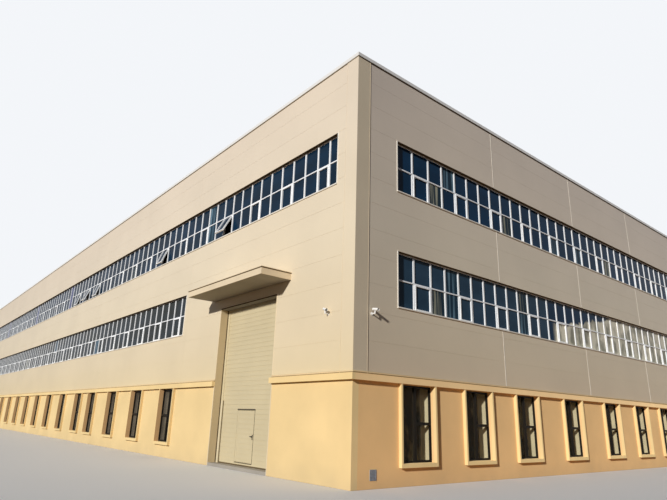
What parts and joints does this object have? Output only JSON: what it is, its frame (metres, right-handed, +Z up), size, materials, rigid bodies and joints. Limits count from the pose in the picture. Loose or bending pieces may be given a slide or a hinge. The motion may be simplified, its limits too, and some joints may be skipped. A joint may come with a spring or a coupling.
{
  "type": "scale model of a factory building",
  "caption": "Long flat-roofed factory building at 1:2 scale with a rendered ground storey, ribbon windows in panel cladding, a canopy and a tall door with a hinged wicket door.",
  "frame": {"origin": "centre of the footprint at ground level, on the underside of the ground floor slab", "axes": "+X along the front wall to the right corner, +Y from the front wall with the door to the back, +Z up"},
  "size_m": [37.79, 16.606, 7.714],
  "materials": {
    "render": "yellow-cream rendered masonry",
    "band": "smooth cream string course and window surrounds",
    "cladding": "light cream coated metal panels",
    "coping": "pale coated metal capping",
    "glass": "dark blue tinted glazing",
    "concrete": "plain concrete",
    "roofing": "grey roof membrane",
    "door": "khaki-beige coated door sections",
    "door_metal": "pale coated guides and hinges",
    "handle": "black lever handle",
    "camera": "white camera housing",
    "grille": "blue-grey louvre"
  },
  "bodies": {
    "building": {"back_band": "band", "back_coping": "coping", "back_plinth": "render", "back_wall": "cladding", "back_window_surrounds": "band", "canopy": "band", "door_bottom_rail": "door", "door_guides": "door_metal", "door_jamb_left": "render", "door_jamb_right": "render", "door_leaf_left": "door", "door_leaf_right": "door", "door_leaf_top": "door", "door_lintel": "render", "door_threshold": "concrete", "front_band": "band", "front_coping": "coping", "front_plinth_left": "render", "front_plinth_right": "render", "front_wall_camera": "camera", "front_wall_left_of_door": "cladding", "front_wall_over_door": "cladding", "front_wall_right_of_door": "cladding", "front_wall_top": "cladding", "front_window_surrounds": "band", "ground_floor": "concrete", "ground_storey_glass": "glass", "left_band": "band", "left_coping": "coping", "left_plinth": "render", "left_wall": "cladding", "left_window_surrounds": "band", "lower_ribbon_glass": "glass", "right_band": "band", "right_coping": "coping", "right_plinth": "render", "right_wall": "cladding", "right_wall_camera": "camera", "right_window_surrounds": "band", "roof_deck": "roofing", "second_floor": "concrete", "third_floor": "concrete", "upper_ribbon_glass": "glass", "vent_grille": "grille", "wicket_hinges": "door_metal"},
    "wicket": {"wicket_door": "door", "wicket_handle": "handle"}
  },
  "joints": [
    {"name": "wicket_hinge", "type": "hinge", "parent": "building", "child": "wicket", "pos_m": [15.037, -7.739, 0.626], "axis": [0, 0, -1], "range_deg": [0, 90]}
  ]
}
